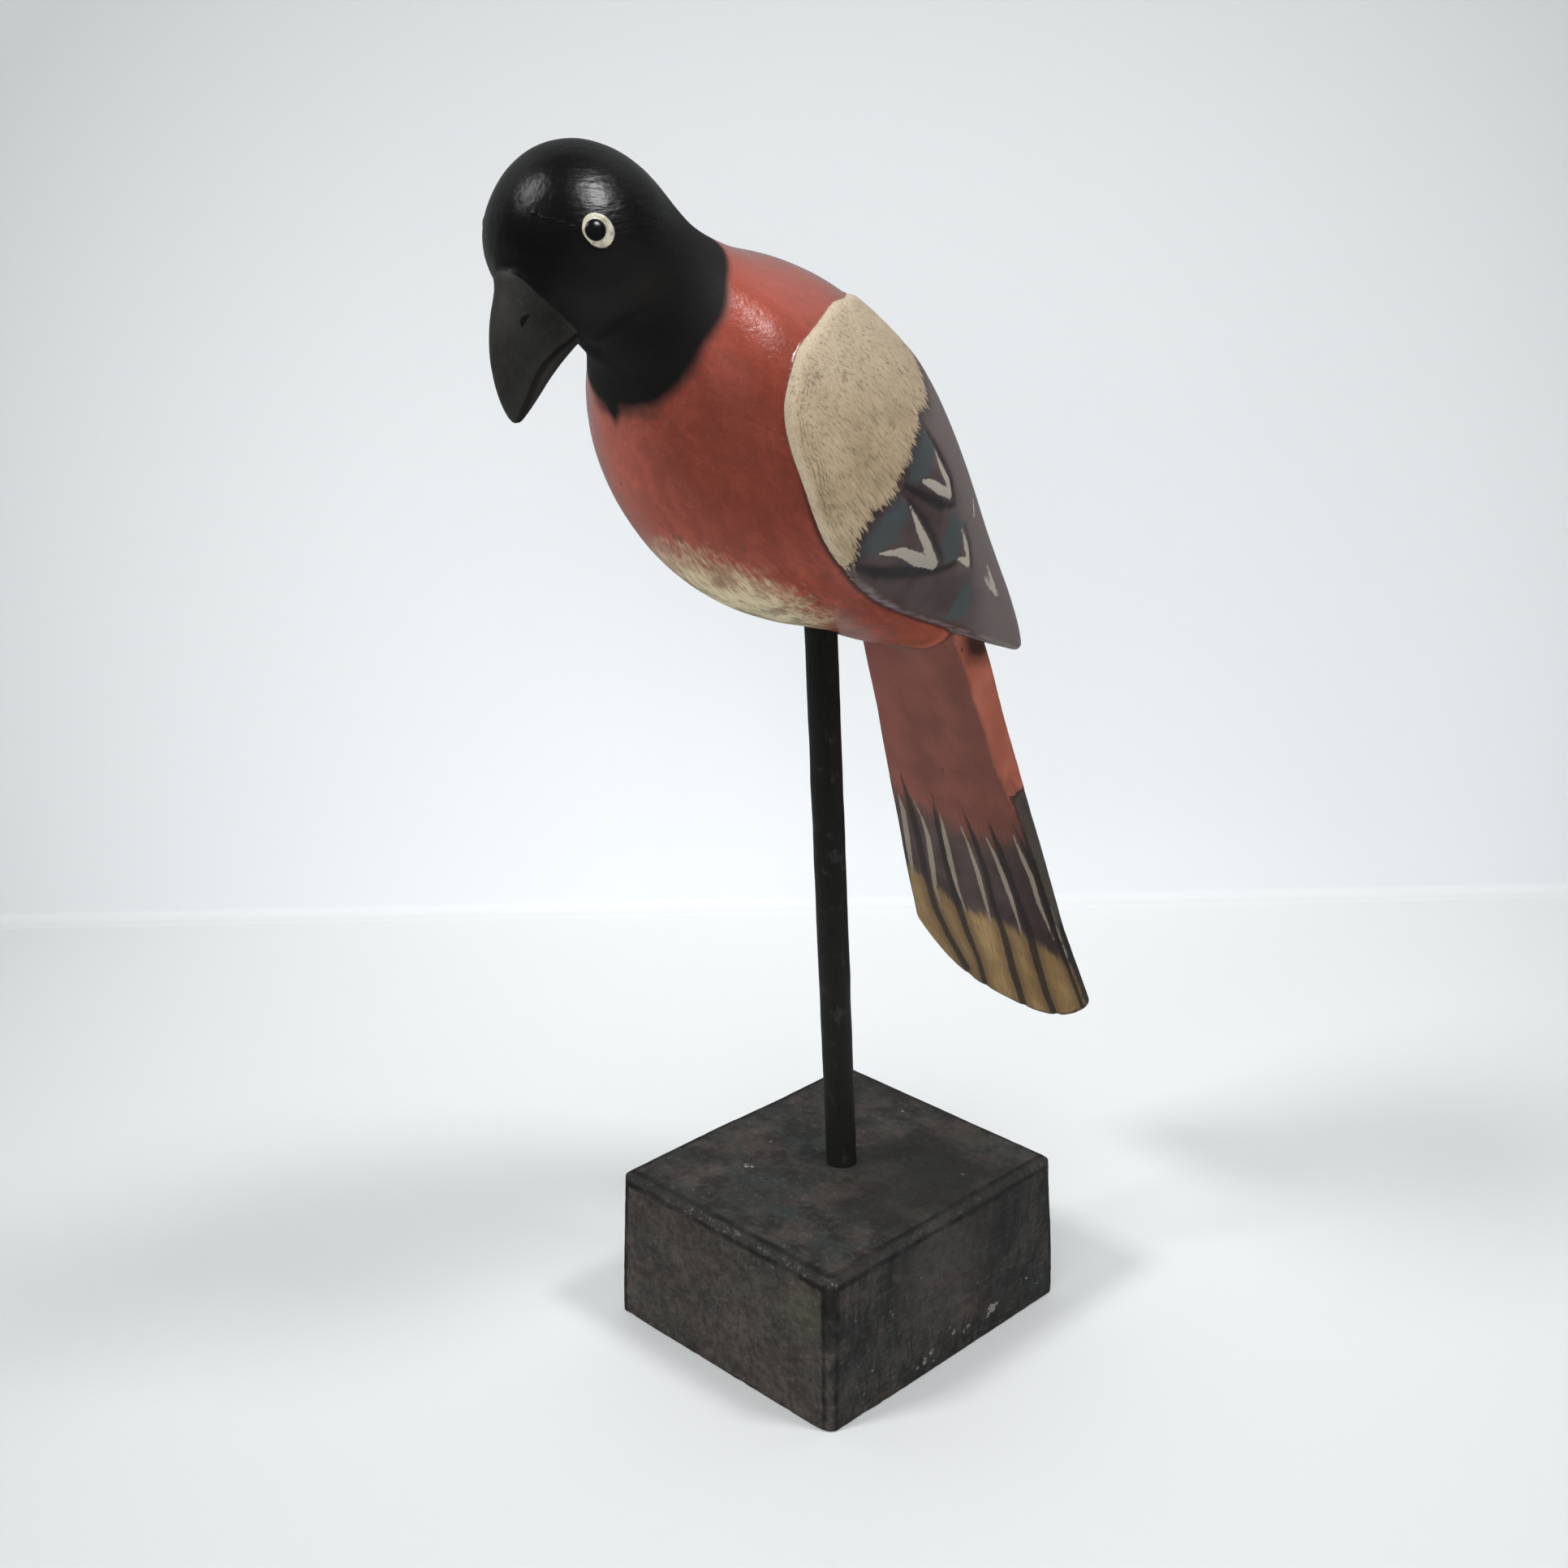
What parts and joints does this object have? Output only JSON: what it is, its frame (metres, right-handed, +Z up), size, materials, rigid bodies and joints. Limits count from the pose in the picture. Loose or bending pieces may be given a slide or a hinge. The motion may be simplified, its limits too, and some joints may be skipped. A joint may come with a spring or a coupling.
{
  "type": "carved bird figure",
  "caption": "Carved and painted wooden parrot with bowed head, folded wings and a long board tail, held on a leaning dowel above a block plinth.",
  "frame": {"origin": "middle of the plinth's underside", "axes": "+Z up, the bird looks towards -Y, its left side is +X"},
  "size_m": [0.0774, 0.1652, 0.2953],
  "materials": {
    "plinth_paint": "worn black-brown paint, matt, with pale chips on the edges",
    "rod_paint": "matt black paint on a dowel",
    "bird_paint": "hand-painted, semi-gloss red body, black hood, khaki and slate wings, dark tail tips",
    "eye_paint": "cream paint with a gloss black pupil"
  },
  "bodies": {
    "root": {"plinth": "plinth_paint", "rod": "rod_paint", "bird": "bird_paint", "eye_left": "eye_paint", "eye_right": "eye_paint"}
  },
  "joints": []
}
